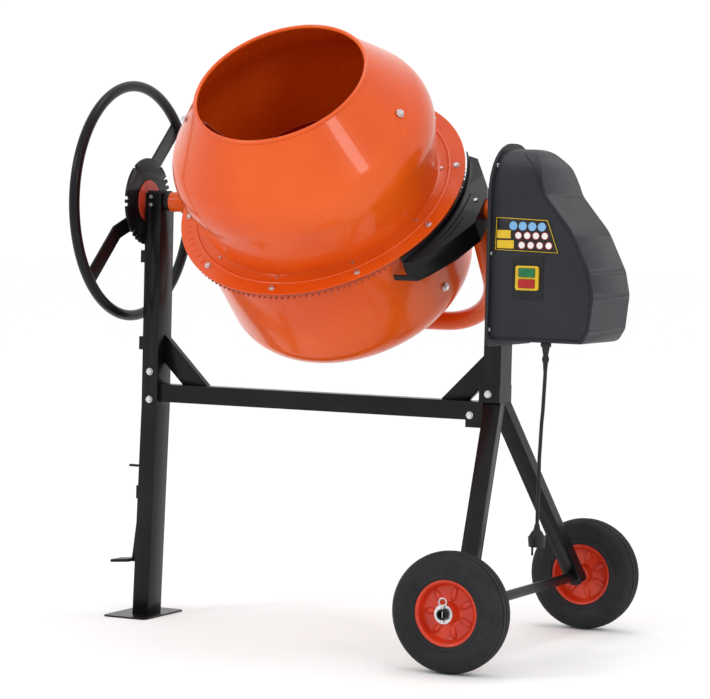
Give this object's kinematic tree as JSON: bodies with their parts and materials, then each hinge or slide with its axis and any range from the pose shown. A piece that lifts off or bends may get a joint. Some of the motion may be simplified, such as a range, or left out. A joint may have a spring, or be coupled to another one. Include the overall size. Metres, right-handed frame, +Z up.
{
  "type": "concrete mixer",
  "caption": "Portable tilting-drum concrete mixer: geared drum in a yoke on a wheeled stand, with a handwheel, foot lock, belt drive in a housing and a short hanging cord.",
  "frame": {"origin": "on the ground, at the middle of the bounding box of the machine without its cord", "axes": "+X from the handwheel towards the motor housing, +Y away from the side the drum mouth leans to, +Z up"},
  "size_m": [1.1913, 0.842, 1.3297],
  "materials": {
    "frame_black": "gloss",
    "drum_orange": "gloss",
    "gear_orange": "satin",
    "hub_red": "satin",
    "rim_red": "gloss",
    "tyre": "matte",
    "zinc": "zinc plated",
    "shaft_steel": "ground",
    "bearing_nylon": "matte",
    "housing_plastic": "satin",
    "backplate_steel": "satin",
    "motor_aluminium": "cast",
    "switch_black": "gloss",
    "switch_yellow": "gloss",
    "button_green": "gloss",
    "button_red": "gloss",
    "label_film": "printed film",
    "belt_rubber": "matte",
    "cord_rubber": "satin",
    "plug_plastic": "satin"
  },
  "bodies": {
    "stand": {"foot_plate": "frame_black", "left_leg": "frame_black", "left_post": "frame_black", "cross_beam": "frame_black", "left_brace": "frame_black", "right_brace": "frame_black", "right_post": "frame_black", "junction_bracket": "frame_black", "front_leg": "frame_black", "rear_leg": "frame_black", "wheel_axle": "frame_black", "left_bearing": "bearing_nylon", "right_bearing": "bearing_nylon", "rod_guides": "frame_black", "frame_bolts": "zinc", "housing_backplate": "backplate_steel", "motor_cover": "housing_plastic", "cover_screws": "zinc", "switch_plate": "switch_black", "switch_frame": "switch_yellow", "label_plate": "label_film", "motor_body": "motor_aluminium", "motor_mount": "backplate_steel", "drive_belt": "belt_rubber", "cable_gland": "plug_plastic", "power_cord": "cord_rubber", "plug": "plug_plastic", "axle_washers": "zinc", "axle_clips": "zinc", "lock_spring": "zinc"},
    "lock": {"lock_rod": "frame_black", "foot_pedal": "frame_black"},
    "start_button": {"start_button": "button_green"},
    "stop_button": {"stop_button": "button_red"},
    "yoke": {"yoke_tube": "drum_orange", "left_trunnion": "drum_orange", "right_trunnion": "drum_orange", "handwheel_rim": "frame_black", "handwheel_spoke": "frame_black", "notched_disc": "frame_black", "hub_disc": "hub_red", "gear_guard": "frame_black", "drum_bearing": "drum_orange"},
    "drive": {"drive_shaft": "shaft_steel", "pinion": "shaft_steel", "large_pulley": "housing_plastic"},
    "rotor": {"rotor_shaft": "shaft_steel", "motor_pulley": "shaft_steel", "cooling_fan": "housing_plastic"},
    "drum": {"lower_bowl": "drum_orange", "upper_shell": "drum_orange", "crown_gear": "gear_orange", "drum_spindle": "shaft_steel", "mixing_blades": "gear_orange", "ring_bolts": "zinc", "blade_bolts": "zinc"},
    "front_wheel": {"front_tyre": "tyre", "front_rim": "rim_red"},
    "rear_wheel": {"rear_tyre": "tyre", "rear_rim": "rim_red"}
  },
  "joints": [
    {"name": "drum_tilt", "type": "hinge", "parent": "stand", "child": "yoke", "pos_m": [-0.076, 0, 0.94], "axis": [1, 0, 0], "range_deg": [-43, 75]},
    {"name": "drum_spin", "type": "hinge", "parent": "yoke", "child": "drum", "pos_m": [-0.076, 0, 0.94], "axis": [0, -0.682, 0.7314], "continuous": true},
    {"name": "pinion_spin", "type": "hinge", "parent": "yoke", "child": "drive", "pos_m": [-0.076, 0, 0.94], "axis": [1, 0, 0], "continuous": true},
    {"name": "motor_spin", "type": "hinge", "parent": "stand", "child": "rotor", "pos_m": [-0.076, 0, 0.77], "axis": [1, 0, 0], "continuous": true},
    {"name": "front_wheel_spin", "type": "hinge", "parent": "stand", "child": "front_wheel", "pos_m": [0.409, -0.3735, 0.125], "axis": [0, 1, 0], "continuous": true},
    {"name": "rear_wheel_spin", "type": "hinge", "parent": "stand", "child": "rear_wheel", "pos_m": [0.409, 0.3735, 0.125], "axis": [0, 1, 0], "continuous": true},
    {"name": "lock_slide", "type": "slide", "parent": "stand", "child": "lock", "axis": [0, 0, 1], "range_m": [-0.025, 0], "stiffness_N_per_m": 600, "springref_m": 0.03, "deforming": ["lock_spring"]},
    {"name": "start_press", "type": "slide", "parent": "stand", "child": "start_button", "axis": [0, 1, 0], "range_m": [0, 0.0025], "stiffness_N_per_m": 400, "springref_m": -0.003},
    {"name": "stop_press", "type": "slide", "parent": "stand", "child": "stop_button", "axis": [0, 1, 0], "range_m": [0, 0.0025], "stiffness_N_per_m": 400, "springref_m": -0.003}
  ],
  "couplings": [
    {"joint": "pinion_spin", "follows": "drum_spin", "ratio": -12},
    {"joint": "motor_spin", "follows": "drum_spin", "ratio": -90}
  ]
}
